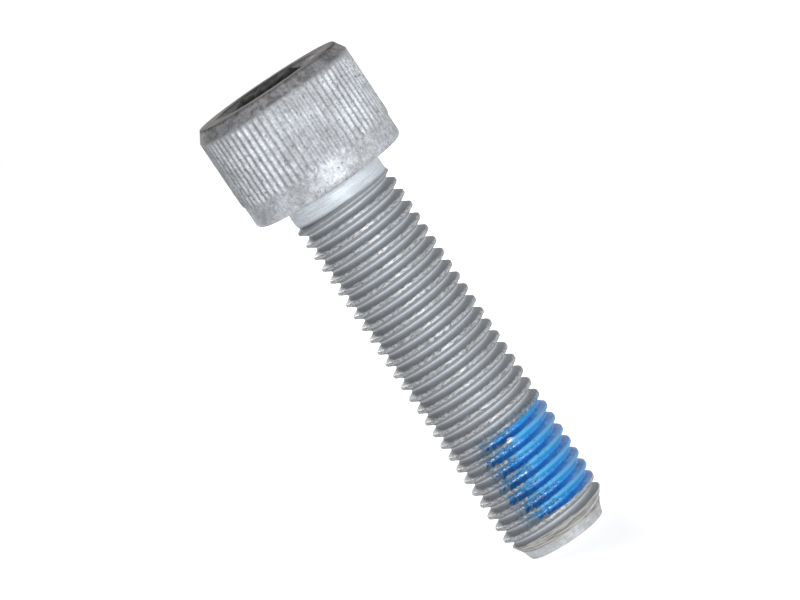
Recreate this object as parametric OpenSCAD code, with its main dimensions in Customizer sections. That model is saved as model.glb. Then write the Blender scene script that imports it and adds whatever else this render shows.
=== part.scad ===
// Hex socket cap screw, M16 x 2 x 60: a knurled head, a thread that runs up to the neck,
// and a nylon locking patch that is fused onto the thread near the point.
// Lengths are in millimetres. Z runs up the screw's axis towards the head, and the origin is
// the centre of the bearing face under the head. The screw stands on its flat point.

/* [Head] */
// Diameter of the plain band at the foot of the head
head_d = 23.9; // [22:0.1:30]
// Height of the head, from the bearing face to the top
head_h = 16; // [13:0.5:20]
// Width of the chamfer round the top, measured across it
top_chamfer_w = 0.75; // [0.3:0.05:1.5]
// Height of the chamfer round the top
top_chamfer_h = 1.6; // [0.6:0.1:2.6]
// Radius of the rounded edge between the band and the bearing face
head_edge_r = 0.9; // [0.3:0.1:1.2]

/* [Knurl] */
// Number of ridges round the head
ridge_count = 72; // [48:1:90]
// How far the ridges stand out from the plain band
ridge_rise = 0.25; // [0.1:0.05:0.4]
// How far the grooves between the ridges lie below the plain band
groove_depth = 0.2; // [0.1:0.05:0.4]
// Width of a ridge along its top
ridge_top_w = 0.36; // [0.2:0.02:0.44]
// Width of a ridge at its foot
ridge_foot_w = 0.78; // [0.6:0.02:0.9]
// Height of the knurl's lower end above the bearing face
knurl_start = 3.3; // [2:0.1:6]
// Length over which the ridges and grooves run out at their ends
knurl_runout = 0.7; // [0.3:0.1:1.2]
// Height of the plain collar between the knurl and the top chamfer
collar_h = 0.2; // [0.15:0.05:1]

/* [Socket] */
// Width of the hexagon across its flats
socket_af = 14; // [10:0.5:17]
// Depth of the hexagon's flat walls
socket_depth = 8; // [5:0.5:10]
// Depth of the shallow cone in the floor of the socket
floor_cone_h = 1.5; // [0.5:0.1:2.5]
// How far the cone's rim lies inside the hexagon's flats
floor_ledge = 0.4; // [0.2:0.1:1.5]
// How far the chamfer at the mouth reaches past the hexagon's corners
mouth_margin = 0.2; // [0.1:0.05:0.6]

/* [Neck] */
// Length of the plain neck between the head and the thread
neck_len = 2.5; // [2:0.1:6]
// How far the neck lies below the crests of the thread
neck_step = 0.475; // [0.2:0.025:0.8]
// Radius of the fillet between the neck and the bearing face
neck_fillet_r = 1; // [0.4:0.1:1.6]

/* [Thread] */
// Diameter over the crests
thread_d = 15.85; // [14:0.05:18]
// Distance from one turn to the next
pitch = 2; // [1.5:0.25:2.5]
// Width of the flat on the crests
crest_w = 0.36; // [0.1:0.02:0.44]
// Width of the flat at the roots
root_w = 0.4; // [0.2:0.05:0.5]
// Angle between the two flanks of a turn
flank_angle = 60; // [55:1:65]
// Length of the screw under its head
screw_len = 60; // [45:1:80]
// Length over which the thread runs out at the neck
thread_runout = 1.6; // [0.5:0.1:4]
// Direction in which the topmost crest leaves the neck, in degrees
thread_turn = 43; // [0:1:359]

/* [Point] */
// Diameter of the flat end
point_d = 12.1; // [10:0.1:12.6]
// Diameter of the point where the threaded taper meets it
point_base_d = 12.8; // [12.6:0.1:13.2]
// Length of the plain point
point_len = 1.1; // [0.5:0.1:2.5]
// Length of the taper that brings the thread down to the point
taper_len = 2.5; // [1:0.1:4]
// Width of the small bevel round the flat end
point_bevel = 0.2; // [0.1:0.05:0.4]

/* [Locking patch] */
// Distance from the flat end to the lower end of the patch
patch_from_end = 5; // [4:0.5:20]
// Length of the patch along the screw
patch_len = 12; // [6:1:24]
// Arc of the thread that the patch covers, in degrees
patch_arc = 160; // [60:10:200]
// Direction in which the middle of the patch faces, in degrees
patch_dir = 330; // [0:10:350]
// Thickness of the patch at the roots of the thread
patch_fill = 0.35; // [0.1:0.05:0.5]
// Thickness of the patch on the crests of the thread
patch_film = 0.08; // [0.04:0.02:0.2]

/* [Hidden] */

$fn = 96;
// Flat sides in one turn of the thread, so that one side spans 10 degrees
sides = 36;
// How far a piece that is joined to another reaches into it
joint_lap = 0.05;

head_r = head_d / 2;
ridge_r = head_r + ridge_rise;
groove_r = head_r - groove_depth;
// The collar stands just proud of the ridges that end under it
collar_r = ridge_r + 0.02;
top_r = collar_r - top_chamfer_w;
chamfer_z = head_h - top_chamfer_h;
knurl_end = chamfer_z - collar_h;

neck_r = thread_d / 2 - neck_step;
crest_r = thread_d / 2;
thread_depth = (pitch - crest_w - root_w) / 2 / tan(flank_angle / 2);
root_r = crest_r - thread_depth;

point_z = -screw_len;
point_base_r = point_base_d / 2;
thread_top = -neck_len;
thread_bottom = point_z + point_len;
// The thread's two ends lie just inside the round pieces that they join
thread_top_r = neck_r - joint_lap;
thread_bottom_r = point_base_r - joint_lap;

// A turn of the thread is four rows of corners: the two edges of its crest and the two edges of
// the root above it. The rows climb by one pitch in a full turn to the right-hand side.
row_offset = [-crest_w / 2, crest_w / 2, (pitch - root_w) / 2, (pitch + root_w) / 2];
turns = ceil((thread_top - thread_bottom) / pitch) + 3;
rows = 4 * (turns + 1);
first_crest = thread_top - pitch * (thread_turn / 360 + turns - 1);

function is_crest(row) = row % 4 < 2;
function row_z(row, side) = first_crest + pitch * (floor(row / 4) + side / sides) + row_offset[row % 4];
function blend(low, high, share) = low + (high - low) * max(0, min(1, share));

// Radius of the thread's surface: its own form, faded out at the neck and cut down at the point
function thread_r(row, z) =
    let (rolled = blend(thread_top_r, is_crest(row) ? crest_r : root_r, (thread_top - z) / thread_runout))
    let (taper = blend(thread_bottom_r, crest_r, (z - thread_bottom) / taper_len))
    min(rolled, taper);

function on_axis_ring(r, side, z) = [r * cos(360 * side / sides), r * sin(360 * side / sides), z];
function thread_point(row, side, proud) =
    let (z = row_z(row, side))
    on_axis_ring(thread_r(row, z) + proud, side, z);

function all_differ(face) = face[0] != face[1] && face[1] != face[2] && face[2] != face[0];

// The whole thread with its solid core, as one closed surface. Corners that would lie past an
// end share that end's ring, and a triangle that shrinks to an edge there is left out.
function thread_corner(row, side) =
    side == sides ? thread_corner(row + 4, 0)
    : row_z(row, side) <= thread_bottom ? side
    : row_z(row, side) >= thread_top ? sides + side
    : 2 * sides + side * rows + row;

module thread_body() {
    bottom_ring = [for (side = [0:sides - 1]) on_axis_ring(thread_bottom_r, side, thread_bottom)];
    top_ring = [for (side = [0:sides - 1]) on_axis_ring(thread_top_r, side, thread_top)];
    corners = [for (side = [0:sides - 1], row = [0:rows - 1]) thread_point(row, side, 0)];
    skin = [
        for (side = [0:sides - 1], row = [0:rows - 2])
        let (a = thread_corner(row, side), b = thread_corner(row + 1, side))
        let (c = thread_corner(row + 1, side + 1), d = thread_corner(row, side + 1))
        for (face = [[a, b, c], [a, c, d]]) if (all_differ(face)) face
    ];
    bottom_cap = [for (side = [0:sides - 1]) side];
    top_cap = [for (side = [sides - 1:-1:0]) sides + side];
    polyhedron(concat(bottom_ring, top_ring, corners), concat([bottom_cap, top_cap], skin));
}

// Plain point: a slightly conical end with a small bevel round its flat face
module point() {
    rotate_extrude()
        polygon([
            [0, point_z],
            [point_d / 2 - point_bevel, point_z],
            [point_d / 2, point_z + point_bevel],
            [point_base_r, thread_bottom],
            [0, thread_bottom]
        ]);
}

// Plain neck, with the fillet that eases it into the bearing face
module neck() {
    rotate_extrude()
        union() {
            translate([0, thread_top])
                square([neck_r, neck_len + joint_lap]);
            difference() {
                translate([neck_r - joint_lap, -neck_fillet_r])
                    square([neck_fillet_r + joint_lap, neck_fillet_r + joint_lap]);
                translate([neck_r + neck_fillet_r, -neck_fillet_r])
                    circle(r = neck_fillet_r);
            }
        }
}

// Turned form of the head, with the floor of the knurl's grooves and the plain collar above it
module head_core() {
    rotate_extrude()
        union() {
            translate([head_r - head_edge_r, head_edge_r])
                circle(r = head_edge_r);
            polygon([
                [0, 0],
                [head_r - head_edge_r, 0],
                [head_r - head_edge_r, head_edge_r],
                [head_r, head_edge_r],
                [head_r, knurl_start],
                [groove_r, knurl_start + knurl_runout],
                [groove_r, knurl_end - knurl_runout],
                [collar_r, knurl_end],
                [collar_r, chamfer_z],
                [top_r, head_h],
                [0, head_h]
            ]);
        }
}

// Straight ridges of the knurl, whose lower ends slope down onto the plain band
module ridges() {
    foot_r = groove_r - joint_lap;
    top_half = ridge_top_w / 2 / ridge_r * 180 / PI;
    foot_half = ridge_foot_w / 2 / foot_r * 180 / PI;
    outline = [
        for (i = [0:ridge_count - 1])
        for (edge = [[foot_r, -foot_half], [ridge_r, -top_half], [ridge_r, top_half], [foot_r, foot_half]])
        let (angle = i * 360 / ridge_count + edge[1])
        [edge[0] * cos(angle), edge[0] * sin(angle)]
    ];
    intersection() {
        translate([0, 0, knurl_start - knurl_runout])
            linear_extrude(height = knurl_end - knurl_start + knurl_runout + collar_h / 2)
                polygon(outline);
        rotate_extrude()
            polygon([
                [0, knurl_start - knurl_runout / 2],
                [foot_r, knurl_start - knurl_runout / 2],
                [ridge_r + joint_lap, knurl_start + knurl_runout],
                [ridge_r + joint_lap, head_h],
                [0, head_h]
            ]);
    }
}

// Room for the key: a hexagon with a chamfered mouth and a shallow cone in its floor
module key_socket() {
    floor_z = head_h - socket_depth;
    floor_r = socket_af / 2 - floor_ledge;
    mouth_r = socket_af / 2 / cos(30) + mouth_margin;
    mouth_h = mouth_r / tan(60);
    translate([0, 0, floor_z])
        cylinder(h = socket_depth + joint_lap, r = socket_af / 2 / cos(30), $fn = 6);
    translate([0, 0, floor_z - floor_cone_h])
        cylinder(h = floor_cone_h + joint_lap, r1 = 0, r2 = floor_r * (1 + joint_lap / floor_cone_h));
    translate([0, 0, head_h - mouth_h])
        cylinder(h = mouth_h * 2, r1 = 0, r2 = mouth_r * 2);
}

module screw() {
    color("silver")
        union() {
            difference() {
                union() {
                    head_core();
                    ridges();
                }
                key_socket();
            }
            neck();
            thread_body();
            point();
        }
}

// The patch lies on whole facets of the thread, from one root to another. It is thick at the
// roots and thin on the crests and round its edge, where it also stops short on each crest.
patch_sides = round(patch_arc / 360 * sides);
patch_side_a = round(patch_dir / 360 * sides - patch_sides / 2) - sides;
patch_side_b = patch_side_a + patch_sides;
patch_turns = round(patch_len / pitch);
patch_low_z = point_z + patch_from_end;
patch_low_turn = ceil((patch_low_z - first_crest) / pitch - patch_side_a / sides - 0.5);
patch_row_a = 4 * patch_low_turn + 2;
patch_row_b = patch_row_a + 4 * patch_turns + 1;

function in_patch(row, side) =
    let (inset = row % 4 == 0 ? 1 : 0)
    row >= patch_row_a && row < patch_row_b && side >= patch_side_a + inset && side < patch_side_b - inset;
function at_patch_edge(row, side) =
    side <= patch_side_a || side >= patch_side_b || row <= patch_row_a || row >= patch_row_b;
function patch_thickness(row, side) =
    is_crest(row) || at_patch_edge(row, side) ? patch_film : patch_fill;

// Corners come in pairs: the inner one on the thread, and the outer one above it
function patch_corner(row, side, outer) =
    2 * ((side - patch_side_a) * (patch_row_b - patch_row_a + 1) + row - patch_row_a) + outer;
function split(a, b, c, d) = [[a, b, c], [a, c, d]];

module locking_patch() {
    corners = [
        for (side = [patch_side_a:patch_side_b], row = [patch_row_a:patch_row_b])
        for (proud = [0, patch_thickness(row, side)])
        thread_point(row, side, proud)
    ];
    cells = [
        for (side = [patch_side_a:patch_side_b - 1], row = [patch_row_a:patch_row_b - 1])
        if (in_patch(row, side)) [row, side]
    ];
    faces = [
        for (cell = cells)
        let (row = cell[0], side = cell[1])
        let (a = patch_corner(row, side, 0), b = patch_corner(row + 1, side, 0))
        let (c = patch_corner(row + 1, side + 1, 0), d = patch_corner(row, side + 1, 0))
        each concat(
            split(a + 1, b + 1, c + 1, d + 1),
            [[a, c, b], [a, d, c]],
            in_patch(row - 1, side) ? [] : split(a + 1, d + 1, d, a),
            in_patch(row + 1, side) ? [] : split(c + 1, b + 1, b, c),
            in_patch(row, side - 1) ? [] : split(b + 1, a + 1, a, b),
            in_patch(row, side + 1) ? [] : split(d + 1, c + 1, c, d)
        )
    ];
    color("dodgerblue")
        polyhedron(corners, faces);
}

screw();
locking_patch();
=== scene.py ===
import math
import random

import bpy
from mathutils import Matrix, Vector, noise


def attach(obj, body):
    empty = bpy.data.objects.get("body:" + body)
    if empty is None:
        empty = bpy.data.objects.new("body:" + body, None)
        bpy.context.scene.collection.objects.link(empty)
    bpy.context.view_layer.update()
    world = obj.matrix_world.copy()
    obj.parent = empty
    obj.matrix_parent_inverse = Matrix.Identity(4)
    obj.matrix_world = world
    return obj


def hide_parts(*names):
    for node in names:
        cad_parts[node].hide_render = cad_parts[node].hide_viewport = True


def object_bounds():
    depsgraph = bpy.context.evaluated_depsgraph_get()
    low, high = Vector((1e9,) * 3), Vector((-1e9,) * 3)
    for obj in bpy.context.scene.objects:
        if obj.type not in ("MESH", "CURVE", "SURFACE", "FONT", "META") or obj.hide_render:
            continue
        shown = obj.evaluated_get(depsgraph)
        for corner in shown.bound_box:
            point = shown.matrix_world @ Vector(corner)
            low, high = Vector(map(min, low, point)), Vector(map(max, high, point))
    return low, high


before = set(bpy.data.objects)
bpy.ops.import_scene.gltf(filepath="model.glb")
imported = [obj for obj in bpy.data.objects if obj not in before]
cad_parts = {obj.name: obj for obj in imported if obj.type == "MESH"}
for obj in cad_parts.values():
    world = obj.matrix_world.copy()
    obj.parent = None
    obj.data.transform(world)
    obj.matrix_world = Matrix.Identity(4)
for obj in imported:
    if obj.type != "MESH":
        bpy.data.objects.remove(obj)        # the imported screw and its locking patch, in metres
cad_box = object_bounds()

# The view. A long lens looks across the screw from a little above its head, and is rolled
# clockwise, so that the head lies to the upper left as in the photograph.
# MM turns millimetres into metres. Heights are counted from the bearing face under the head.
MM = 0.001
PHOTO_WIDTH = 800
LENS_PIXELS = 4764
SENSOR_WIDTH = 36
NEAREST_SEEN = 0.01
VIEW_DISTANCE = 662.0 * MM
VIEW_RISE = math.radians(7.306)
VIEW_ROLL = math.radians(33.83)
# How far the lens is moved to the left and down from the line through the screw's origin
SIDE_SHIFT = 1.11 * MM
UP_SHIFT = 19.065 * MM
camera_data = bpy.data.cameras.new("long_lens")
camera_data.sensor_width = SENSOR_WIDTH
camera_data.lens = LENS_PIXELS / PHOTO_WIDTH * SENSOR_WIDTH
camera_data.clip_start = NEAREST_SEEN
camera = bpy.data.objects.new("long_lens", camera_data)
bpy.context.scene.collection.objects.link(camera)
look = Vector((0, math.cos(VIEW_RISE), -math.sin(VIEW_RISE)))
above = Vector((0, math.sin(VIEW_RISE), math.cos(VIEW_RISE)))
aside = Vector((1, 0, 0))
stand_at = -look * VIEW_DISTANCE - above * UP_SHIFT - aside * SIDE_SHIFT
frame_right = aside * math.cos(VIEW_ROLL) - above * math.sin(VIEW_ROLL)
frame_up = aside * math.sin(VIEW_ROLL) + above * math.cos(VIEW_ROLL)
turn = Matrix((frame_right, frame_up, -look)).transposed()
camera.matrix_world = Matrix.Translation(stand_at) @ turn.to_4x4()
bpy.context.scene.camera = camera


# The head and neck: alloy steel, forged in one piece with the shank. They are turned here as
# one closed form, from a cone inside the thread up to the chamfered top, and the knurl's
# ridges are raised from their grooves, tooth by tooth, with uneven lower ends.
HEAD_RADIUS = 11.92
HEAD_HEIGHT = 16.0
EDGE_RADIUS = 0.9
EDGE_STEPS = 10
FILLET_RADIUS = 1.0
FILLET_STEPS = 8
FILLET_LEAD = 0.3
NECK_RADIUS = 7.46
NECK_LENGTH = 2.5
RUNOUT_LENGTH = 1.6
ROOT_RADIUS = 6.78
# How far the cone below the neck ends inside the thread's root and below its run-out
CONE_INSET = 0.15
CONE_SPARE = 0.3
RIDGE_RADIUS = 12.14
GROOVE_RADIUS = 11.84
KNURL_START = 3.3
KNURL_END = 14.2
KNURL_RUNOUT = 0.9
RUNOUT_CURVE = 1.5
# The chamfer over the knurl and the small rounds at both its corners
CHAMFER_START = 14.4
CHAMFER_CORNER = 0.03
CORNER_BELOW = 0.04
CORNER_ABOVE = 0.06
TOP_RADIUS = 11.2
TOP_EDGE = 0.12
TOP_EDGE_STEPS = 3
TOP_CORNER_DROP = 0.16
TOP_CORNER_ANGLE = 25
RIDGES = 72
RIDGE_COLUMNS = 8
KNURL_ROWS = 15
RUNOUT_ROWS = 4
# Share of a ridge's full height in each of a tooth's columns, from its middle outwards
COLUMN_SHARES = [1.0, 0.88, 0.48, 0.12, 0.0]
# How far the lower end of a ridge may lie from its even place, and over what height that shows
UNEVEN_SEED = 4
UNEVEN_START = 0.45
UNEVEN_HEIGHT = 2.4
RIDGE_WOBBLE = 0.03
WOBBLE_SIZE = 0.9
# A point that is this close to a row's height belongs to the row
SAME_HEIGHT = 0.01


def arc(centre, radius, start, end, steps):
    """Points of radius and height on an arc, with its angles in degrees"""
    angles = [math.radians(start + (end - start) * i / steps) for i in range(steps + 1)]
    return [(centre[0] + radius * math.cos(a), centre[1] + radius * math.sin(a)) for a in angles]


def turned(name, profile, columns):
    """A closed solid turned round the screw's axis, ring by ring up its profile in millimetres"""
    bpy.ops.object.select_all(action="DESELECT")
    radius, height = profile[0]
    bpy.ops.mesh.primitive_circle_add(vertices=columns, radius=radius * MM, fill_type="NGON")
    piece = bpy.context.object
    piece.name = name
    bpy.ops.object.mode_set(mode="EDIT")
    bpy.ops.transform.translate(value=(0, 0, height * MM))
    for next_radius, next_height in profile[1:]:
        rise = (0, 0, (next_height - height) * MM)
        bpy.ops.mesh.extrude_region_move(TRANSFORM_OT_translate={"value": rise})
        scale = next_radius / radius
        centre = (0, 0, next_height * MM)
        bpy.ops.transform.resize(value=(scale, scale, 1), center_override=centre)
        radius, height = next_radius, next_height
    bpy.ops.mesh.select_all(action="SELECT")
    bpy.ops.mesh.normals_make_consistent(inside=False)
    bpy.ops.object.mode_set(mode="OBJECT")
    return piece


def knurl_row(height):
    """Radius of the groove's floor and of the ridge's top at a height"""
    low = min(1, (height - KNURL_START) / KNURL_RUNOUT)
    high = min(1, (KNURL_END - height) / KNURL_RUNOUT)
    ease_low = math.sin(low * math.pi / 2) ** RUNOUT_CURVE
    ease_high = math.sin(high * math.pi / 2)
    groove = HEAD_RADIUS + (GROOVE_RADIUS - HEAD_RADIUS) * ease_low
    groove += (RIDGE_RADIUS - GROOVE_RADIUS) * (1 - ease_high)
    ridge = HEAD_RADIUS + (RIDGE_RADIUS - HEAD_RADIUS) * ease_low
    return groove, max(groove, ridge)


# Heights of the knurl's rows of points, which lie closer where the ridges run out
rows = [KNURL_START + KNURL_RUNOUT * i / RUNOUT_ROWS for i in range(1, RUNOUT_ROWS)]
even_length = KNURL_END - KNURL_START - 2 * KNURL_RUNOUT
rows += [KNURL_START + KNURL_RUNOUT + even_length * i / KNURL_ROWS for i in range(KNURL_ROWS + 1)]
rows += [KNURL_END - KNURL_RUNOUT * i / RUNOUT_ROWS for i in range(RUNOUT_ROWS - 1, 0, -1)]
top_centre = (TOP_RADIUS - TOP_EDGE, HEAD_HEIGHT - TOP_EDGE)
head_profile = [
    (ROOT_RADIUS - CONE_INSET, -NECK_LENGTH - RUNOUT_LENGTH - CONE_SPARE),
    (NECK_RADIUS, -NECK_LENGTH),
    (NECK_RADIUS, -FILLET_RADIUS - FILLET_LEAD),
    *arc((NECK_RADIUS + FILLET_RADIUS, -FILLET_RADIUS), FILLET_RADIUS, 180, 90, FILLET_STEPS),
    *arc((HEAD_RADIUS - EDGE_RADIUS, EDGE_RADIUS), EDGE_RADIUS, -90, 0, EDGE_STEPS),
    (HEAD_RADIUS, KNURL_START),
    *[(knurl_row(row)[0], row) for row in rows],
    (RIDGE_RADIUS, KNURL_END),
    (RIDGE_RADIUS, CHAMFER_START - CORNER_BELOW),
    (RIDGE_RADIUS - CHAMFER_CORNER, CHAMFER_START + CORNER_ABOVE),
    (TOP_RADIUS + CHAMFER_CORNER, HEAD_HEIGHT - TOP_CORNER_DROP),
    *arc(top_centre, TOP_EDGE, TOP_CORNER_ANGLE, 90, TOP_EDGE_STEPS),
]
head = turned("head", head_profile, RIDGES * RIDGE_COLUMNS)

chance = random.Random(UNEVEN_SEED)
start_shift = [chance.uniform(-UNEVEN_START, UNEVEN_START) for _ in range(RIDGES)]
for point in head.data.vertices:
    height = min(rows, key=lambda row: abs(row * MM - point.co.z))
    if abs(height * MM - point.co.z) < SAME_HEIGHT * MM:
        radius = point.co.xy.length / MM
        way_round = math.atan2(point.co.y, point.co.x) / (2 * math.pi)
        column = round(way_round * RIDGES * RIDGE_COLUMNS) % (RIDGES * RIDGE_COLUMNS)
        from_middle = column % RIDGE_COLUMNS
        share = COLUMN_SHARES[min(from_middle, RIDGE_COLUMNS - from_middle)]
        groove, ridge_top = knurl_row(height)
        wobble = RIDGE_WOBBLE * noise.noise(point.co / (WOBBLE_SIZE * MM)) * share
        wanted = groove + share * (ridge_top - groove) + wobble
        point.co.xy *= wanted / radius
        ridge = round(column / RIDGE_COLUMNS) % RIDGES
        lowness = max(0, 1 - (height - KNURL_START) / UNEVEN_HEIGHT)
        point.co.z += start_shift[ridge] * share * lowness * MM


# The thread: rolled into the shank between dies, so that its roots are round and its crests
# are blunt and a little rough. One pitch of its form is drawn point by point and swept up
# as a right-hand helix. A turned blank cuts the point, the taper above it and the run-out.
PITCH = 2.0
CREST_RADIUS = 7.87
CREST_FLAT = 0.30
CREST_ROUND = 0.12
CREST_STEPS = 3
ROOT_ROUND = 0.30
ROOT_STEPS = 6
# Angle between the radius and the outward direction of a flank, in degrees
FLANK_NORMAL = 60
# Height of the topmost crest where it passes the side that faces +X
CREST_HEIGHT = -2.74
SCREW_LENGTH = 60.0
TURNS = 32
TURN_COLUMNS = 120
# The sweep reaches past the point and up into the neck
THREAD_LOW_END = -SCREW_LENGTH - 0.5
THREAD_HIGH_END = -NECK_LENGTH + 0.4
# How deep the crests are worn, and the widths of the broad and the fine dents
CREST_WEAR = 0.09
WEAR_SIZE = 0.8
FINE_WEAR_SIZE = 0.35
FINE_WEAR_SHARE = 0.6
# Points that lie closer than this after a sweep are made one, and a cut's precision in metres
SWEEP_JOIN = 0.002
CUT_PRECISION = 1e-7

crest_centre = CREST_RADIUS - CREST_ROUND
lower_corner = arc((crest_centre, -CREST_FLAT / 2), CREST_ROUND, -FLANK_NORMAL, 0, CREST_STEPS)
upper_corner = arc((crest_centre, CREST_FLAT / 2), CREST_ROUND, 0, FLANK_NORMAL, CREST_STEPS)
root_centre = (ROOT_RADIUS + ROOT_ROUND, PITCH / 2)
root = arc(root_centre, ROOT_ROUND, 180 + FLANK_NORMAL, 180 - FLANK_NORMAL, ROOT_STEPS)
next_crest = (lower_corner[0][0], lower_corner[0][1] + PITCH)
thread_form = [*lower_corner, *upper_corner, *root, next_crest]


def rolled(name, lowest_turn, turns, columns, low_end, high_end):
    """The thread's form swept up as a helix, cut square at two heights and closed there"""
    bpy.ops.object.select_all(action="DESELECT")
    bpy.ops.mesh.primitive_plane_add(size=MM)
    piece = bpy.context.object
    piece.name = name
    bpy.ops.object.mode_set(mode="EDIT")
    bpy.ops.mesh.merge(type="CENTER")
    low = CREST_HEIGHT - PITCH * lowest_turn
    radius, height = thread_form[0]
    bpy.ops.transform.translate(value=(radius * MM, 0, (height + low) * MM))
    for here, there in zip(thread_form, thread_form[1:]):
        step = ((there[0] - here[0]) * MM, 0, (there[1] - here[1]) * MM)
        bpy.ops.mesh.extrude_vertices_move(TRANSFORM_OT_translate={"value": step})
    bpy.ops.object.mode_set(mode="OBJECT")
    bpy.ops.object.modifier_add(type="SCREW")
    sweep = piece.modifiers[-1]
    sweep.axis = "Z"
    sweep.angle = 2 * math.pi
    sweep.screw_offset = PITCH * MM
    sweep.iterations = turns
    sweep.steps = columns
    sweep.render_steps = columns
    bpy.ops.object.modifier_apply(modifier=sweep.name)
    bpy.ops.object.mode_set(mode="EDIT")
    bpy.ops.mesh.select_all(action="SELECT")
    bpy.ops.mesh.remove_doubles(threshold=SWEEP_JOIN * MM)
    for end, keep_above in ((low_end, True), (high_end, False)):
        bpy.ops.mesh.select_all(action="SELECT")
        bpy.ops.mesh.bisect(
            plane_co=(0, 0, end * MM),
            plane_no=(0, 0, 1),
            use_fill=True,
            clear_inner=keep_above,
            clear_outer=not keep_above,
            threshold=CUT_PRECISION,
        )
    bpy.ops.mesh.select_all(action="SELECT")
    bpy.ops.mesh.normals_make_consistent(inside=False)
    bpy.ops.object.mode_set(mode="OBJECT")
    return piece


thread = rolled("thread", TURNS - 1, TURNS, TURN_COLUMNS, THREAD_LOW_END, THREAD_HIGH_END)
for point in thread.data.vertices:
    radius = point.co.xy.length / MM
    if radius > CREST_RADIUS - CREST_ROUND:
        wear = noise.noise(point.co / (WEAR_SIZE * MM))
        wear += FINE_WEAR_SHARE * noise.noise(point.co / (FINE_WEAR_SIZE * MM))
        point.co.xy *= 1 - CREST_WEAR * max(0, wear) / radius

POINT_RADIUS = 6.05
POINT_BASE_RADIUS = 6.5
POINT_LENGTH = 1.5
POINT_ROUND = 0.25
POINT_STEPS = 4
TAPER_LENGTH = 2.4
TAPER_RADIUS = 8.07
RUNOUT_STRETCH = 1.3
# The blank narrows to end just inside the neck
BLANK_STEP = 0.05
BLANK_STEP_BELOW = 0.1
BLANK_STEP_ABOVE = 0.02
ROUND_COLUMNS = 192
point_centre = (POINT_RADIUS - POINT_ROUND, POINT_ROUND - SCREW_LENGTH)
shank_profile = [
    *arc(point_centre, POINT_ROUND, -90, 0, POINT_STEPS),
    (POINT_BASE_RADIUS, POINT_LENGTH - SCREW_LENGTH),
    (TAPER_RADIUS, POINT_LENGTH + TAPER_LENGTH - SCREW_LENGTH),
    (TAPER_RADIUS, -NECK_LENGTH - RUNOUT_LENGTH * RUNOUT_STRETCH),
    (NECK_RADIUS + BLANK_STEP, -NECK_LENGTH - BLANK_STEP_BELOW),
    (NECK_RADIUS - BLANK_STEP, -NECK_LENGTH + BLANK_STEP_ABOVE),
]
shank_blank = turned("shank_blank", shank_profile, ROUND_COLUMNS)


def combine(piece, tool, operation):
    """Cuts or joins a piece with a tool, which is used up"""
    bpy.ops.object.select_all(action="DESELECT")
    bpy.context.view_layer.objects.active = piece
    piece.select_set(True)
    bpy.ops.object.modifier_add(type="BOOLEAN")
    cut = piece.modifiers[-1]
    cut.object = tool
    cut.operation = operation
    cut.solver = "MANIFOLD"
    bpy.ops.object.modifier_apply(modifier=cut.name)
    bpy.data.objects.remove(tool)


combine(thread, shank_blank, "INTERSECT")
combine(head, thread, "UNION")

# The key socket: punched into the head, a hexagon with slightly rounded corners, a coned floor
# and a chamfered mouth. Its cutting form is put together first and then taken out of the head.
HALF_SIDE = math.radians(30)
SOCKET_FLATS = 14.0
SOCKET_DEPTH = 8.0
CORNER_ROUND = 0.25
CORNER_STEPS = 4
FLOOR_CONE = 1.5
CONE_TIP = 0.05
FLOOR_INSET = 0.4
FLOOR_OVERLAP = 0.5
# How far the mouth's chamfer reaches beyond the hexagon's corners, and down to its flats
MOUTH_REACH = 0.2
MOUTH_DEPTH = 1.1
MOUTH_INSET = 0.6
MOUTH_LIP = 0.1
MOUTH_EDGE = 0.02
# How far the cutting forms stand above the head
SOCKET_PROUD = 1
MOUTH_PROUD = 0.9
socket_radius = SOCKET_FLATS / 2 / math.cos(HALF_SIDE)
socket_middle = HEAD_HEIGHT + SOCKET_PROUD - (SOCKET_DEPTH + SOCKET_PROUD) / 2
bpy.ops.object.select_all(action="DESELECT")
bpy.ops.mesh.primitive_cylinder_add(
    vertices=6,
    radius=socket_radius * MM,
    depth=(SOCKET_DEPTH + SOCKET_PROUD) * MM,
    rotation=(0, 0, HALF_SIDE),
)
hexagon = bpy.context.object
bpy.ops.object.transform_apply(rotation=True)
bpy.ops.object.mode_set(mode="EDIT")
bpy.ops.transform.translate(value=(0, 0, socket_middle * MM))
bpy.context.tool_settings.mesh_select_mode = (False, True, False)
bpy.ops.mesh.select_all(action="DESELECT")
bpy.ops.object.mode_set(mode="OBJECT")
for edge in hexagon.data.edges:
    ends = [hexagon.data.vertices[i].co for i in edge.vertices]
    edge.select = abs(ends[0].z - ends[1].z) > MM
bpy.ops.object.mode_set(mode="EDIT")
bpy.ops.mesh.bevel(offset=CORNER_ROUND * MM, segments=CORNER_STEPS, affect="EDGES")
bpy.ops.object.mode_set(mode="OBJECT")
bpy.context.tool_settings.mesh_select_mode = (True, False, False)
floor_height = HEAD_HEIGHT - SOCKET_DEPTH
floor_profile = [
    (CONE_TIP, floor_height - FLOOR_CONE),
    (SOCKET_FLATS / 2 - FLOOR_INSET, floor_height),
    (SOCKET_FLATS / 2 - FLOOR_INSET, floor_height + FLOOR_OVERLAP),
]
combine(hexagon, turned("socket_floor", floor_profile, ROUND_COLUMNS // 2), "UNION")
mouth_radius = socket_radius + MOUTH_REACH
mouth_profile = [
    (SOCKET_FLATS / 2 - MOUTH_INSET, HEAD_HEIGHT - MOUTH_DEPTH),
    (mouth_radius - MOUTH_LIP, HEAD_HEIGHT - MOUTH_LIP),
    (mouth_radius, HEAD_HEIGHT - MOUTH_EDGE),
    (mouth_radius + MOUTH_LIP, HEAD_HEIGHT + MOUTH_EDGE),
    (mouth_radius + MOUTH_LIP, HEAD_HEIGHT + MOUTH_PROUD),
]
combine(hexagon, turned("socket_mouth", mouth_profile, ROUND_COLUMNS), "UNION")
combine(head, hexagon, "DIFFERENCE")

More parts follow.
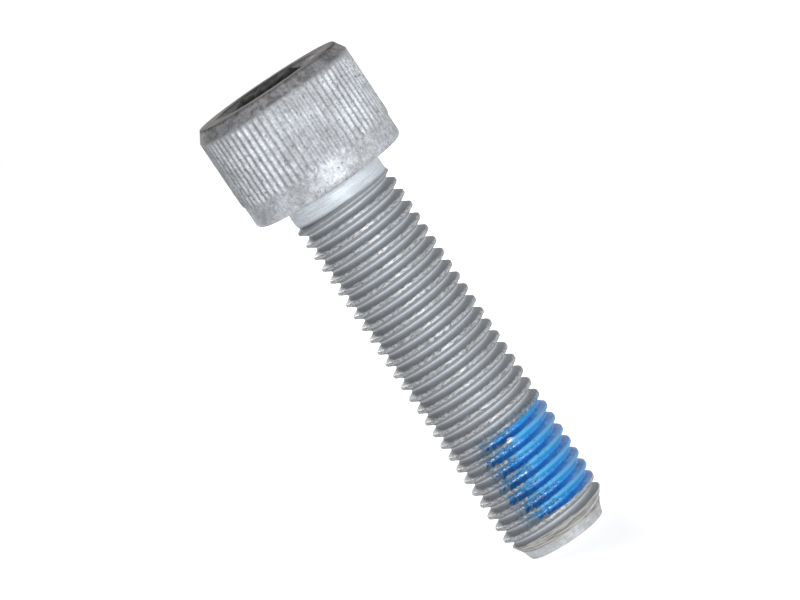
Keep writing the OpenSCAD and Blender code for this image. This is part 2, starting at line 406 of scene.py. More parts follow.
# The cuts leave loose bits. Points closer than the first length are made one, and bits of the
# screw that are shorter than the second are deleted.
JOIN_GAP = 0.0006
SCREW_CRUMB = 1.0
SCREW_SMOOTH_ANGLE = 38


def without_crumbs(piece, smallest):
    """Deletes the loose bits of a piece that are shorter than a length in millimetres"""
    name = piece.name
    bpy.ops.object.select_all(action="DESELECT")
    bpy.context.view_layer.objects.active = piece
    piece.select_set(True)
    bpy.ops.object.mode_set(mode="EDIT")
    bpy.ops.mesh.select_all(action="SELECT")
    bpy.ops.mesh.remove_doubles(threshold=JOIN_GAP * MM)
    bpy.ops.object.mode_set(mode="OBJECT")
    bpy.ops.mesh.separate(type="LOOSE")
    bits = sorted(bpy.context.selected_objects, key=lambda bit: max(bit.dimensions), reverse=True)
    for bit in bits[1:]:
        if max(bit.dimensions) < smallest * MM:
            bpy.data.objects.remove(bit)
    bpy.context.view_layer.objects.active = bits[0]
    bpy.ops.object.join()
    bits[0].name = name
    return bits[0]


screw = without_crumbs(head, SCREW_CRUMB)
screw.name = "screw_steel"
bpy.ops.object.shade_smooth_by_angle(angle=math.radians(SCREW_SMOOTH_ANGLE))

# The coat: zinc flakes baked on as a thin silver-grey film, lightest on the knurl and the neck. It
# has a painted highlight along the roots, painted shade on the flanks that face the head and on the
# dull top of the head, and is worn in streaks on the crests. Pits lie on the head and the crests.
COAT_LIGHT = (0.74, 0.77, 0.82, 1)
COAT_DARK = (0.47, 0.485, 0.515, 1)
# Painted shade for the knurl's grooves
GROOVE_PAINTED_SHADE = (0.40, 0.41, 0.43, 1)
NECK_LIGHT = (0.70, 0.755, 0.815, 1)
NECK_DARK = (0.61, 0.655, 0.71, 1)
# Painted shade and light for the thread's flanks and a painted highlight for its roots
SHADED_FLANK_GREY = (0.235, 0.25, 0.27, 1)
HALF_SHADED_FLANK_GREY = (0.37, 0.39, 0.42, 1)
LIT_FLANK_GREY = (0.44, 0.465, 0.50, 1)
ROOT_HIGHLIGHT_GREY = (0.78, 0.82, 0.86, 1)
CREST_DARK = (0.27, 0.28, 0.295, 1)
CREST_LIGHT = (0.56, 0.575, 0.595, 1)
RING_DARK = (0.29, 0.285, 0.275, 1)
RING_LIGHT = (0.60, 0.59, 0.58, 1)
POINT_GREY = (0.55, 0.56, 0.56, 1)
# Painted shade for the chamfer, and for the top and the socket
CHAMFER_SHADE_PALE = (0.37, 0.375, 0.40, 1)
CHAMFER_SHADE_DEEP = (0.15, 0.15, 0.155, 1)
TOP_SHADE_PALE = (0.24, 0.23, 0.22, 1)
TOP_SHADE_DEEP = (0.12, 0.115, 0.11, 1)
PIT_GREY = (0.05, 0.048, 0.045, 1)
BLUE_DUST = (0.03, 0.14, 0.26, 1)
# Where a flake of the patch has come off, the steel is bare and bright
BARE_SPOT = (0.71, -7.37, -42.8)
BARE_RADIUS = 0.75
BARE_CORE = 0.6
BARE_STEEL = (0.90, 0.88, 0.85, 1)
# How much fine detail a noise holds
SOFT = 2.0
CRISP = 3.0
DUSTY = 4.0


def plug(tree, socket, value):
    """Sets a socket to a value, or links another node's output to it"""
    if isinstance(value, bpy.types.NodeSocket):
        tree.links.new(value, socket)
    else:
        socket.default_value = value


def maths(tree, operation, first, second=0.0):
    """The result of one operation on two values"""
    made = tree.nodes.new("ShaderNodeMath")
    made.operation = operation
    plug(tree, made.inputs[0], first)
    plug(tree, made.inputs[1], second)
    return made.outputs[0]


def ramp(tree, value, start, end):
    """A smooth rise from 0 to 1 as a value goes from start to end"""
    made = tree.nodes.new("ShaderNodeMapRange")
    made.interpolation_type = "SMOOTHSTEP"
    plug(tree, made.inputs["Value"], value)
    plug(tree, made.inputs["From Min"], start)
    plug(tree, made.inputs["From Max"], end)
    return made.outputs["Result"]


def speckle(tree, position, size, detail):
    """Soft noise whose grains are about as wide as the size, in the position's unit"""
    made = tree.nodes.new("ShaderNodeTexNoise")
    plug(tree, made.inputs["Vector"], position)
    made.inputs["Scale"].default_value = 1 / size
    made.inputs["Detail"].default_value = detail
    return made.outputs["Fac"]


def blend(tree, share, first, second):
    """A colour that goes from the first to the second as the share goes from 0 to 1. The node's
    sockets 6 and 7 are its two colours."""
    made = tree.nodes.new("ShaderNodeMix")
    made.data_type = "RGBA"
    plug(tree, made.inputs[0], share)
    plug(tree, made.inputs[6], first)
    plug(tree, made.inputs[7], second)
    return made.outputs[2]


def stretched(tree, vector, scale):
    """A place multiplied by a scale, so that a pattern on it shrinks by as much"""
    made = tree.nodes.new("ShaderNodeMapping")
    made.inputs["Scale"].default_value = scale
    tree.links.new(vector, made.inputs["Vector"])
    return made.outputs["Vector"]


def place_on_screw(tree):
    """The place in millimetres, its distance from the axis, its direction in degrees, its height,
    and the height at which its turn of the thread passes the +X side"""
    coordinates = tree.nodes.new("ShaderNodeTexCoord")
    place = stretched(tree, coordinates.outputs["Object"], (1 / MM, 1 / MM, 1 / MM))
    parts = tree.nodes.new("ShaderNodeSeparateXYZ")
    tree.links.new(place, parts.inputs["Vector"])
    across, away, height = parts.outputs
    squares = [maths(tree, "MULTIPLY", side, side) for side in (across, away)]
    distance = maths(tree, "SQRT", maths(tree, "ADD", *squares))
    direction = maths(tree, "MULTIPLY", maths(tree, "ARCTAN2", away, across), 180 / math.pi)
    along = maths(tree, "SUBTRACT", height, maths(tree, "MULTIPLY", direction, PITCH / 360))
    return place, distance, direction, height, along


def share_of_turn(tree, along):
    """0 on a crest, rising through the flank that faces the head, the root and the next flank to 1"""
    turns_up = maths(tree, "DIVIDE", maths(tree, "SUBTRACT", along, CREST_HEIGHT), PITCH)
    return maths(tree, "FRACT", turns_up)


# What the grain of the coat and of the film share: clouds some millimetres wide, streaks that
# run round the screw, fine grain, and small round pits
BROAD_CLOUD = 3.2
CLOSE_CLOUD = 0.7
CLOUD_RISE = (0.37, 0.63)
STREAK_STRETCH = (0.8, 0.8, 2.6)
STREAK_SIZE = 0.5
GRAIN_SIZE = 0.3
PIT_SIZE = 0.5
PIT_RISE = (0.63, 0.70)
coat_grain = bpy.data.node_groups.new("coat_grain", "ShaderNodeTree")
coat_grain.interface.new_socket("Place", in_out="INPUT", socket_type="NodeSocketVector")
for output in ("Clouds", "Streaks", "Grain", "Pits"):
    coat_grain.interface.new_socket(output, in_out="OUTPUT", socket_type="NodeSocketFloat")
grain_in = coat_grain.nodes.new("NodeGroupInput")
grain_out = coat_grain.nodes.new("NodeGroupOutput")
grain_place = grain_in.outputs["Place"]
broad = speckle(coat_grain, grain_place, BROAD_CLOUD, SOFT)
close = speckle(coat_grain, grain_place, CLOSE_CLOUD, CRISP)
both_clouds = maths(coat_grain, "MULTIPLY", maths(coat_grain, "ADD", broad, close), 0.5)
plug(coat_grain, grain_out.inputs["Clouds"], ramp(coat_grain, both_clouds, *CLOUD_RISE))
streak_place = stretched(coat_grain, grain_place, STREAK_STRETCH)
plug(coat_grain, grain_out.inputs["Streaks"], speckle(coat_grain, streak_place, STREAK_SIZE, CRISP))
plug(coat_grain, grain_out.inputs["Grain"], speckle(coat_grain, grain_place, GRAIN_SIZE, CRISP))
pit_noise = speckle(coat_grain, grain_place, PIT_SIZE, SOFT)
plug(coat_grain, grain_out.inputs["Pits"], ramp(coat_grain, pit_noise, *PIT_RISE))


def grain_of(tree, place):
    """The outputs of the grain at a place"""
    made = tree.nodes.new("ShaderNodeGroup")
    made.node_tree = coat_grain
    plug(tree, made.inputs["Place"], place)
    return made.outputs


steel = bpy.data.materials.new("zinc_flake_coat")
steel.use_nodes = True
tree = steel.node_tree
place, distance, direction, height, along = place_on_screw(tree)
grain = grain_of(tree, place)
clouds, streaks = grain["Clouds"], grain["Streaks"]

# The knurl and the bands beside it, with painted shade in the grooves. In all the pairs of numbers
# here, a finish starts at the first one and is full at the second.
GROOVE_DISTANCE = (12.02, 11.8)
GROOVE_HEIGHT = (3.5, 4.3)
OFF_SOCKET = (11.3, 11.6)
GROOVE_SHADE = 0.55
coat = blend(tree, clouds, COAT_DARK, COAT_LIGHT)
near_floor = ramp(tree, distance, *GROOVE_DISTANCE)
in_groove = maths(tree, "MULTIPLY", near_floor, ramp(tree, height, *GROOVE_HEIGHT))
in_groove = maths(tree, "MULTIPLY", in_groove, ramp(tree, distance, *OFF_SOCKET))
# The grooves are painted darker as shade
coat = blend(tree, maths(tree, "MULTIPLY", in_groove, GROOVE_SHADE), coat, GROOVE_PAINTED_SHADE)

# The neck is smooth, with faint rings
RING_STRETCH = (0.3, 0.3, 3)
RING_SIZE = 0.8
RING_RISE = (0.40, 0.58)
NECK_HEIGHT = (0.0, -0.8)
ring_noise = speckle(tree, stretched(tree, place, RING_STRETCH), RING_SIZE, CRISP)
rings = ramp(tree, ring_noise, *RING_RISE)
on_neck = ramp(tree, height, *NECK_HEIGHT)
coat = blend(tree, on_neck, coat, blend(tree, rings, NECK_DARK, NECK_LIGHT))

# The thread's coat changes over each turn, by shares of the turn. It has painted shade on the flank
# that faces the head, painted light on the flank that faces the tip and a painted highlight along
# the root, and the crests are worn in streaks.
HEAD_FLANK = (0.10, 0.50)
TIP_FLANK = (0.58, 0.70)
ROOT_SHARE = 0.585
ROOT_WIDTH = (0.09, 0.03)
CREST_DISTANCE = (7.86, 8.08)
CREST_STREAKS = 0.5
CREST_SIDE = (0.10, 0.30)
CREST_SIDE_GAIN = 0.12
CREST_BELOW_NECK = (-1.5, -7.0)
WORN_RISE = (0.34, 0.62)
THREAD_TOP = (-2.4, -3.0)
THREAD_FOOT = (-59.2, -58.8)
turn_share = share_of_turn(tree, along)
# Painted shade on the flank that faces the head, going to painted light on the one facing the tip
turns = blend(tree, ramp(tree, turn_share, *HEAD_FLANK), SHADED_FLANK_GREY, HALF_SHADED_FLANK_GREY)
turns = blend(tree, ramp(tree, turn_share, *TIP_FLANK), turns, LIT_FLANK_GREY)
# A painted highlight along the root
off_root = maths(tree, "ABSOLUTE", maths(tree, "SUBTRACT", turn_share, ROOT_SHARE))
root_highlight_and_polish = ramp(tree, off_root, *ROOT_WIDTH)
turns = blend(tree, root_highlight_and_polish, turns, ROOT_HIGHLIGHT_GREY)
crest_edge = maths(tree, "ADD", distance, maths(tree, "MULTIPLY", streaks, CREST_STREAKS))
crest_side = ramp(tree, turn_share, *CREST_SIDE)
crest_edge = maths(tree, "ADD", crest_edge, maths(tree, "MULTIPLY", crest_side, CREST_SIDE_GAIN))
on_crest = ramp(tree, crest_edge, *CREST_DISTANCE)
on_crest = maths(tree, "MULTIPLY", on_crest, ramp(tree, height, *CREST_BELOW_NECK))
worn = ramp(tree, streaks, *WORN_RISE)
turns = blend(tree, on_crest, turns, blend(tree, worn, CREST_DARK, CREST_LIGHT))
on_thread = maths(tree, "MULTIPLY", ramp(tree, height, *THREAD_TOP), ramp(tree, height, *THREAD_FOOT))
coat = blend(tree, on_thread, coat, turns)

# The taper has been rolled over the last turns, in rings, where the surface is the blank's cone
TAPER_DEPTH = (-0.12, -0.04)
TAPER_TOP = (-56.0, -56.6)
POINT_TOP = (-58.45, -58.6)
taper_rise = (TAPER_RADIUS - POINT_BASE_RADIUS) / TAPER_LENGTH
taper_foot = POINT_BASE_RADIUS + taper_rise * (SCREW_LENGTH - POINT_LENGTH)
taper_surface = maths(tree, "ADD", maths(tree, "MULTIPLY", height, taper_rise), taper_foot)
on_taper = ramp(tree, maths(tree, "SUBTRACT", distance, taper_surface), *TAPER_DEPTH)
on_taper = maths(tree, "MULTIPLY", on_taper, ramp(tree, height, *TAPER_TOP))
coat = blend(tree, on_taper, coat, blend(tree, rings, RING_DARK, RING_LIGHT))
on_point = ramp(tree, height, *POINT_TOP)
coat = blend(tree, on_point, coat, blend(tree, clouds, POINT_GREY, COAT_LIGHT))

# Painted shade darkens the chamfer, the top and the socket, with a cloudy border
CAP_HEIGHT = (13.8, 14.8)
CAP_CLOUDS = 0.6
TOP_HEIGHT = (15.5, 15.9)
SOCKET_WALL = (9.0, 8.6)
SOCKET_HEIGHT = (5.0, 6.0)
SOCKET_SHADE = 0.6
cap_edge = maths(tree, "ADD", height, maths(tree, "MULTIPLY", clouds, CAP_CLOUDS))
shaded_cap = blend(tree, clouds, CHAMFER_SHADE_DEEP, CHAMFER_SHADE_PALE)
coat = blend(tree, ramp(tree, cap_edge, *CAP_HEIGHT), coat, shaded_cap)
# Painted shade inside the socket
socket_shade_mask = ramp(tree, distance, *SOCKET_WALL)
socket_shade_mask = maths(tree, "MULTIPLY", socket_shade_mask, ramp(tree, height, *SOCKET_HEIGHT))
socket_shade_mask = maths(tree, "MULTIPLY", socket_shade_mask, SOCKET_SHADE)
on_top = maths(tree, "MAXIMUM", ramp(tree, height, *TOP_HEIGHT), socket_shade_mask)
coat = blend(tree, on_top, coat, blend(tree, clouds, TOP_SHADE_DEEP, TOP_SHADE_PALE))

# Blue dust round the locking patch, by the height of the turn and the direction in degrees
DUST_FOOT = (-55.2, -53.5)
DUST_TOP = (-39.0, -41.0)
DUST_LEFT = (-150, -110)
DUST_RIGHT = (80, 50)
DUST_SIZE = 0.5
DUST_GATHER = 0.18
DUST_RISE = (0.56, 0.66)
DUST_DEPTH = 0.65
dusty = maths(tree, "MULTIPLY", ramp(tree, along, *DUST_FOOT), ramp(tree, along, *DUST_TOP))
dusty = maths(tree, "MULTIPLY", dusty, ramp(tree, direction, *DUST_LEFT))
dusty = maths(tree, "MULTIPLY", dusty, ramp(tree, direction, *DUST_RIGHT))
dust_noise = speckle(tree, place, DUST_SIZE, DUSTY)
dust_noise = maths(tree, "ADD", dust_noise, maths(tree, "MULTIPLY", dusty, DUST_GATHER))
dusty = maths(tree, "MULTIPLY", dusty, ramp(tree, dust_noise, *DUST_RISE))
coat = blend(tree, maths(tree, "MULTIPLY", dusty, DUST_DEPTH), coat, BLUE_DUST)

# A fine dark grain all over, deeper on the head, and pits on the head and the crests
HEAD_FOOT = (-1.2, 0.3)
FINE_DEPTH = 0.10
FINE_DEPTH_ON_HEAD = 0.18
FINE_RISE = (0.35, 0.65)
PIT_DEPTH = 0.55
on_head = ramp(tree, height, *HEAD_FOOT)
fine_depth = maths(tree, "ADD", maths(tree, "MULTIPLY", on_head, FINE_DEPTH_ON_HEAD), FINE_DEPTH)
fine = maths(tree, "MULTIPLY", ramp(tree, grain["Grain"], *FINE_RISE), fine_depth)
coat = blend(tree, fine, coat, PIT_GREY)
pits = maths(tree, "MULTIPLY", grain["Pits"], maths(tree, "MAXIMUM", on_head, on_crest))
coat = blend(tree, maths(tree, "MULTIPLY", pits, PIT_DEPTH), coat, PIT_GREY)
to_spot = tree.nodes.new("ShaderNodeVectorMath")
to_spot.operation = "DISTANCE"
plug(tree, to_spot.inputs[0], place)
to_spot.inputs[1].default_value = BARE_SPOT
bare = ramp(tree, to_spot.outputs["Value"], BARE_RADIUS, BARE_RADIUS * BARE_CORE)
coat = blend(tree, bare, coat, BARE_STEEL)

# The sheen is that of a dull metal paint, a little brighter where crests and roots are polished
COAT_METALLIC = 0.15
POLISH_METALLIC = 0.1
COAT_ROUGHNESS = 0.5
TOP_ROUGHNESS = 0.4
POLISH_SMOOTHNESS = 0.06
COAT_SPECULAR = 0.25
COAT_BUMP = 0.6
COAT_BUMP_DEPTH = 0.05
shader = tree.nodes["Principled BSDF"]
plug(tree, shader.inputs["Base Color"], coat)
polish = maths(tree, "MULTIPLY", maths(tree, "MAXIMUM", on_crest, root_highlight_and_polish), on_thread)
polished_metal = maths(tree, "MULTIPLY", polish, POLISH_METALLIC)
plug(tree, shader.inputs["Metallic"], maths(tree, "ADD", polished_metal, COAT_METALLIC))
roughness = maths(tree, "ADD", maths(tree, "MULTIPLY", on_top, TOP_ROUGHNESS), COAT_ROUGHNESS)
roughness = maths(tree, "SUBTRACT", roughness, maths(tree, "MULTIPLY", polish, POLISH_SMOOTHNESS))
plug(tree, shader.inputs["Roughness"], roughness)
shader.inputs["Specular IOR Level"].default_value = COAT_SPECULAR
relief = maths(tree, "SUBTRACT", grain["Grain"], pits)
relief = maths(tree, "ADD", relief, maths(tree, "MULTIPLY", streaks, on_crest))
bump = tree.nodes.new("ShaderNodeBump")
bump.inputs["Strength"].default_value = COAT_BUMP
bump.inputs["Distance"].default_value = COAT_BUMP_DEPTH * MM
plug(tree, bump.inputs["Height"], relief)
plug(tree, shader.inputs["Normal"], bump.outputs["Normal"])
screw.data.materials.clear()
screw.data.materials.append(steel)
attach(screw, "root")
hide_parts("screw")


# The locking patch: blue polyamide powder, sprayed on one side of the hot thread and fused to
# it. It fills the roots and thins out over the crests and towards its ragged edges. It is
# made as a thread a little proud of the real one and cut by the screw, so it sits on it.
ROOT_FILL = 0.34
CREST_FILM = 0.06
FILL_CURVE = 1.3
# Beyond its edges the film's surface lies this deep inside the screw, and is cut away
EDGE_SINK = 0.14
FILM_LOW_TURN = 29
FILM_TURNS = 12
FILM_COLUMNS = 300
FILM_LOW_END = -56.0
FILM_HIGH_END = -39.8
# Heights between which the film lies, taken along the helix to the side that faces +X
FILM_TOP = -41.1
FILM_FOOT = -54.8
FILM_END_FADE = 0.45
# Directions of the film's two edges in degrees, from +X, and the arcs over which it thins out
FILM_LEFT = -156
FILM_LEFT_FADE = 92
FILM_RIGHT = 64
FILM_RIGHT_FADE = 44
# The left edge is drawn in towards both ends, and jumps from turn to turn by a line of noise
OVAL_TUCK = 22
OVAL_CURVE = 4
TURN_JITTER = 16
JITTER_LINE = (3, 7)
JITTER_SIZE = 1.4
# Widths and depths of the bays in the film's edge, and of the lumps on its surface
RAGGED_SIZE = 0.5
FINE_RAGGED_SIZE = 0.2
FINE_RAGGED_SHARE = 0.5
RAGGEDNESS = 1.6
LUMP_SIZE = 0.6
LUMP_HEIGHT = 0.25
# A flake of the film has come off near its upper edge
CHIP_DIRECTION = -84.5
CHIP_HEIGHT = -42.8
CHIP_LENGTH = 0.6
CHIP_WIDTH = 0.32
# Loose flecks of the film that are shorter than this are deleted
FLECK_SIZE = 0.2
FILM_SMOOTH_ANGLE = 60


def eased(share):
    """A share from 0 to 1 that starts and ends gently"""
    share = max(0, min(1, share))
    return share * share * (3 - 2 * share)


def film_share(spot):
    """How far the film has built up at a place in millimetres: 1 well inside, 0 beyond its edge"""
    side = math.degrees(math.atan2(spot.y, spot.x))
    along = spot.z - PITCH * side / 360
    middle = (FILM_TOP + FILM_FOOT) / 2
    oval = abs(along - middle) / (FILM_TOP - middle)
    jitter = TURN_JITTER * noise.noise((*JITTER_LINE, along / JITTER_SIZE))
    left = FILM_LEFT + OVAL_TUCK * oval ** OVAL_CURVE + jitter
    share = eased((side - left) / FILM_LEFT_FADE) * eased((FILM_RIGHT - side) / FILM_RIGHT_FADE)
    ends = eased((FILM_TOP - along) / FILM_END_FADE) * eased((along - FILM_FOOT) / FILM_END_FADE)
    share *= ends
    ragged = noise.noise(spot / RAGGED_SIZE)
    ragged += FINE_RAGGED_SHARE * noise.noise(spot / FINE_RAGGED_SIZE)
    share += RAGGEDNESS * ragged * share * (1 - share)
    chip_side = math.radians(side - CHIP_DIRECTION) * CREST_RADIUS / CHIP_LENGTH
    chip = math.hypot(chip_side, (spot.z - CHIP_HEIGHT) / CHIP_WIDTH)
    return max(0, min(1, share)) * eased(chip * 2 - 1)


film = rolled("patch_film", FILM_LOW_TURN, FILM_TURNS, FILM_COLUMNS, FILM_LOW_END, FILM_HIGH_END)
for point in film.data.vertices:
    spot = point.co / MM
    radius = spot.xy.length
    depth = max(0, (CREST_RADIUS - radius) / (CREST_RADIUS - ROOT_RADIUS))
    thickness = CREST_FILM + (ROOT_FILL - CREST_FILM) * depth ** FILL_CURVE
    thickness *= 1 + LUMP_HEIGHT * noise.noise(spot / LUMP_SIZE)
    proud = (EDGE_SINK + thickness) * film_share(spot) - EDGE_SINK
    point.co.xy *= 1 + proud / radius
bpy.ops.object.select_all(action="DESELECT")
bpy.context.view_layer.objects.active = screw
screw.select_set(True)
bpy.ops.object.duplicate()
seat = bpy.context.object
combine(film, seat, "DIFFERENCE")
film = without_crumbs(film, FLECK_SIZE)
bpy.ops.object.shade_smooth_by_angle(angle=math.radians(FILM_SMOOTH_ANGLE))

# Painted shade makes the polyamide deep blue on the flank facing the head; the other is painted
# lighter
# Painted shade and light on the polyamide's flanks
SHADED_FLANK_BLUE = (0.003, 0.12, 0.46, 1)
AZURE = (0.02, 0.33, 0.76, 1)
LIT_FLANK_BLUE = (0.06, 0.48, 0.90, 1)
PALE_BLUE = (0.09, 0.47, 0.85, 1)
LAVENDER = (0.16, 0.38, 0.70, 1)
# Painted shade and light on the thin film's flanks
THIN_SHADED_BLUE = (0.004, 0.07, 0.20, 1)
THIN_LIT_BLUE = (0.012, 0.19, 0.46, 1)
SPECK_BLUE = (0.002, 0.035, 0.14, 1)
# A painted highlight for the glints
GLINT = (0.70, 0.80, 0.86, 1)
AZURE_SHARE = (0.30, 0.55)
SKY_SHARE = (0.62, 0.85)
FILM_CREST_DISTANCE = (7.88, 8.06)
FILM_CREST_STREAKS = 0.3
FILM_CREST_DEPTH = 0.8
HAZE_DIRECTION = (-75, -25)
HAZE_LEAST = 0.25
HAZE_DISTANCE = (7.2, 7.8)
HAZE_SHARE = (0.45, 0.20)
polyamide = bpy.data.materials.new("fused_polyamide")
polyamide.use_nodes = True
tree = polyamide.node_tree
place, distance, direction, _, along = place_on_screw(tree)
grain = grain_of(tree, place)
turn_share = share_of_turn(tree, along)
cover = blend(tree, ramp(tree, turn_share, *AZURE_SHARE), SHADED_FLANK_BLUE, AZURE)
cover = blend(tree, ramp(tree, turn_share, *SKY_SHARE), cover, LIT_FLANK_BLUE)
crest_streaks = maths(tree, "MULTIPLY", grain["Streaks"], FILM_CREST_STREAKS)
film_crest = ramp(tree, maths(tree, "ADD", distance, crest_streaks), *FILM_CREST_DISTANCE)
cover = blend(tree, maths(tree, "MULTIPLY", film_crest, FILM_CREST_DEPTH), cover, PALE_BLUE)
haze_clouds = maths(tree, "ADD", grain["Clouds"], HAZE_LEAST)
haze = maths(tree, "MULTIPLY", ramp(tree, direction, *HAZE_DIRECTION), haze_clouds)
hazy_crest = ramp(tree, distance, *HAZE_DISTANCE)
hazy_side = maths(tree, "MAXIMUM", hazy_crest, ramp(tree, turn_share, *HAZE_SHARE))
cover = blend(tree, maths(tree, "MULTIPLY", haze, hazy_side), cover, LAVENDER)

# Where the film thins out on the left, the dark coat shows through it, with dark specks and
# painted glints on bits of bare metal. Dark specks also lie in a row along the roots.
THIN_DIRECTION = (-60, -105)
SPRINKLED_DIRECTION = (-45, -75)
EDGE_CLOUDS = 30
THIN_SHARE = (0.35, 0.6)
THIN_DEPTH = 0.75
SPECK_STRETCH = (1, 1, 1.6)
SPECK_SIZE = 0.45
SPECK_RISE = (0.54, 0.60)
SPECK_DEPTH = 0.7
SPECK_ROW_START = (0.25, 0.4)
SPECK_ROW_END = (0.62, 0.5)
SPECK_ROW_DEPTH = 0.6
GLINT_STRETCH = (1, 1, 2.2)
GLINT_SIZE = 0.36
GLINT_RISE = (0.53, 0.58)
GLINT_ROW_START = (0.45, 0.55)
GLINT_ROW_END = (0.85, 0.75)
cloudy_side = maths(tree, "ADD", direction, maths(tree, "MULTIPLY", grain["Clouds"], EDGE_CLOUDS))
thin = ramp(tree, cloudy_side, *THIN_DIRECTION)
sprinkled = ramp(tree, cloudy_side, *SPRINKLED_DIRECTION)
# The thin film is painted darker on the flank that faces the head, as shade
thin_film = blend(tree, ramp(tree, turn_share, *THIN_SHARE), THIN_SHADED_BLUE, THIN_LIT_BLUE)
cover = blend(tree, maths(tree, "MULTIPLY", thin, THIN_DEPTH), cover, thin_film)
speck_noise = speckle(tree, stretched(tree, place, SPECK_STRETCH), SPECK_SIZE, SOFT)
specks = ramp(tree, speck_noise, *SPECK_RISE)
speck_row = ramp(tree, turn_share, *SPECK_ROW_START)
speck_row = maths(tree, "MULTIPLY", speck_row, ramp(tree, turn_share, *SPECK_ROW_END))
speck_row = maths(tree, "MULTIPLY", speck_row, SPECK_ROW_DEPTH)
specks = maths(tree, "MULTIPLY", specks, maths(tree, "MAXIMUM", sprinkled, speck_row))
cover = blend(tree, maths(tree, "MULTIPLY", specks, SPECK_DEPTH), cover, SPECK_BLUE)
glint_noise = speckle(tree, stretched(tree, place, GLINT_STRETCH), GLINT_SIZE, SOFT)
glint_row = ramp(tree, turn_share, *GLINT_ROW_START)
glint_row = maths(tree, "MULTIPLY", glint_row, ramp(tree, turn_share, *GLINT_ROW_END))
glint_row = maths(tree, "MULTIPLY", glint_row, sprinkled)
# Painted glints in rows along the roots
glints = maths(tree, "MULTIPLY", ramp(tree, glint_noise, *GLINT_RISE), glint_row)
cover = blend(tree, glints, cover, GLINT)

# The film is satin and its surface is lumpy. The glints are bits of bare metal, more metallic and
# smoother, and their bright colour is a painted highlight.
FILM_ROUGHNESS = 0.45
GLINT_SMOOTHNESS = 0.2
GLINT_METALLIC = 0.6
FILM_BUMP = 0.6
FILM_BUMP_DEPTH = 0.08
FILM_BUMP_GRAIN = 0.5
shader = tree.nodes["Principled BSDF"]
plug(tree, shader.inputs["Base Color"], cover)
glint_polish = maths(tree, "MULTIPLY", glints, GLINT_SMOOTHNESS)
plug(tree, shader.inputs["Roughness"], maths(tree, "SUBTRACT", FILM_ROUGHNESS, glint_polish))
plug(tree, shader.inputs["Metallic"], maths(tree, "MULTIPLY", glints, GLINT_METALLIC))
fine_lumps = maths(tree, "MULTIPLY", grain["Grain"], FILM_BUMP_GRAIN)
bump = tree.nodes.new("ShaderNodeBump")
bump.inputs["Strength"].default_value = FILM_BUMP
bump.inputs["Distance"].default_value = FILM_BUMP_DEPTH * MM
plug(tree, bump.inputs["Height"], maths(tree, "ADD", glint_noise, fine_lumps))
plug(tree, shader.inputs["Normal"], bump.outputs["Normal"])
film.data.materials.clear()
film.data.materials.append(polyamide)
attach(film, "root")
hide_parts("locking_patch")


# The floor and the light: a pale table in a white room. One lamp stands low in front of the
# screw, a little to its right, and one hangs behind it on the left. The table's glow and the
# walls' full brightness are only there in the view and in reflections.
FLOOR_SIZE = 3
FLOOR_LEVEL = cad_box[0][2]
FLOOR_GAP = 0.02 * MM
FLOOR_GREY = (0.86, 0.86, 0.86, 1)
FLOOR_ROUGHNESS = 0.9
# How brightly the table glows near the screw and far from it, and where that changes, in metres
GLOW_NEAR = 0.77
GLOW_FAR = 1.0
GLOW_EDGES = (0.08, 0.35)
WALL_WHITE = (1, 1, 1, 1)
ROOM_LIGHT = 0.12
bpy.ops.object.select_all(action="DESELECT")
bpy.ops.mesh.primitive_plane_add(size=FLOOR_SIZE, location=(0, 0, FLOOR_LEVEL - FLOOR_GAP))
floor = bpy.context.object
floor.name = "table"


def seen_directly(tree):
    """1 on the rays that show the background, in the view, in a reflection or through glass"""
    path = tree.nodes.new("ShaderNodeLightPath")
    seen = maths(tree, "MAXIMUM", path.outputs["Is Camera Ray"], path.outputs["Is Glossy Ray"])
    return maths(tree, "MAXIMUM", seen, path.outputs["Is Transmission Ray"])


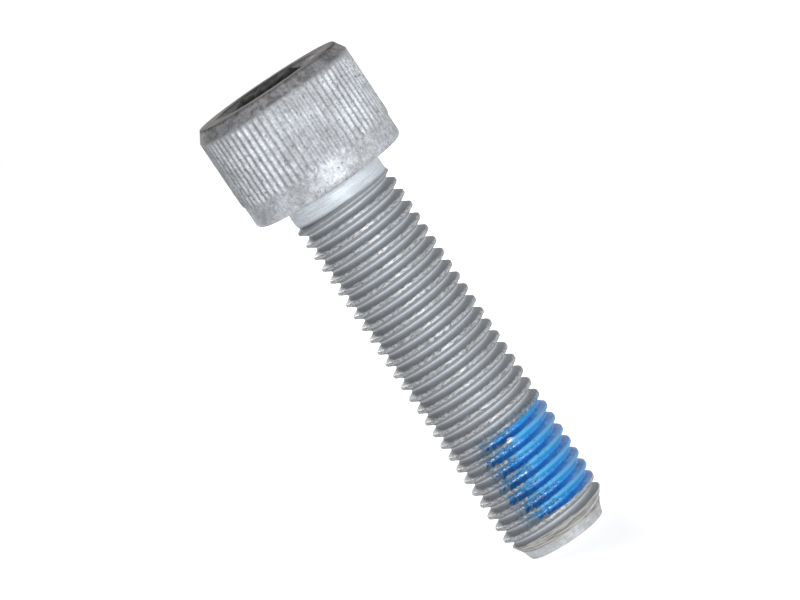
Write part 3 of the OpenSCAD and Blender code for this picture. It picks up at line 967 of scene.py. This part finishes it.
paper = bpy.data.materials.new("pale_paper")
paper.use_nodes = True
tree = paper.node_tree
shader = tree.nodes["Principled BSDF"]
shader.inputs["Base Color"].default_value = FLOOR_GREY
shader.inputs["Roughness"].default_value = FLOOR_ROUGHNESS
shader.inputs["Specular IOR Level"].default_value = 0.0
on_table = tree.nodes.new("ShaderNodeTexCoord")
reach = tree.nodes.new("ShaderNodeVectorMath")
reach.operation = "LENGTH"
tree.links.new(on_table.outputs["Object"], reach.inputs[0])
far_off = ramp(tree, reach.outputs["Value"], *GLOW_EDGES)
strength = maths(tree, "ADD", maths(tree, "MULTIPLY", far_off, GLOW_FAR - GLOW_NEAR), GLOW_NEAR)
glow = tree.nodes.new("ShaderNodeEmission")
plug(tree, glow.inputs["Strength"], maths(tree, "MULTIPLY", seen_directly(tree), strength))
lit_and_glowing = tree.nodes.new("ShaderNodeAddShader")
tree.links.new(shader.outputs[0], lit_and_glowing.inputs[0])
tree.links.new(glow.outputs[0], lit_and_glowing.inputs[1])
surface = tree.nodes["Material Output"].inputs["Surface"]
tree.links.new(lit_and_glowing.outputs[0], surface)
floor.data.materials.append(paper)

world = bpy.data.worlds.new("white_room")
bpy.context.scene.world = world
world.use_nodes = True
tree = world.node_tree
walls = tree.nodes["Background"]
walls.inputs["Color"].default_value = WALL_WHITE
shown = seen_directly(tree)
dim = maths(tree, "MULTIPLY", maths(tree, "SUBTRACT", 1.0, shown), ROOM_LIGHT)
plug(tree, walls.inputs["Strength"], maths(tree, "ADD", shown, dim))

# Where each lamp stands, how wide and high it is, in metres, and its power in watts
LAMP_TARGET = (0, 0, -0.02)
FRONT_LAMP_PLACE = (0.11, -0.61, 0.0)
FRONT_LAMP_SIZE = (0.22, 0.11)
FRONT_LAMP_POWER = 2.75
BACK_LAMP_PLACE = (-0.14, 0.55, 0.30)
BACK_LAMP_SIZE = (0.35, 0.25)
BACK_LAMP_POWER = 3.2


def area_lamp(name, stand, size, power):
    """A rectangular lamp that faces the screw"""
    data = bpy.data.lights.new(name, "AREA")
    data.shape = "RECTANGLE"
    data.size = size[0]
    data.size_y = size[1]
    data.energy = power
    lamp = bpy.data.objects.new(name, data)
    lamp.location = stand
    aim = Vector(LAMP_TARGET) - Vector(stand)
    lamp.rotation_euler = aim.to_track_quat("-Z", "Y").to_euler()
    bpy.context.scene.collection.objects.link(lamp)


area_lamp("front_lamp", FRONT_LAMP_PLACE, FRONT_LAMP_SIZE, FRONT_LAMP_POWER)
area_lamp("back_lamp", BACK_LAMP_PLACE, BACK_LAMP_SIZE, BACK_LAMP_POWER)
bpy.context.scene.view_settings.view_transform = "Standard"
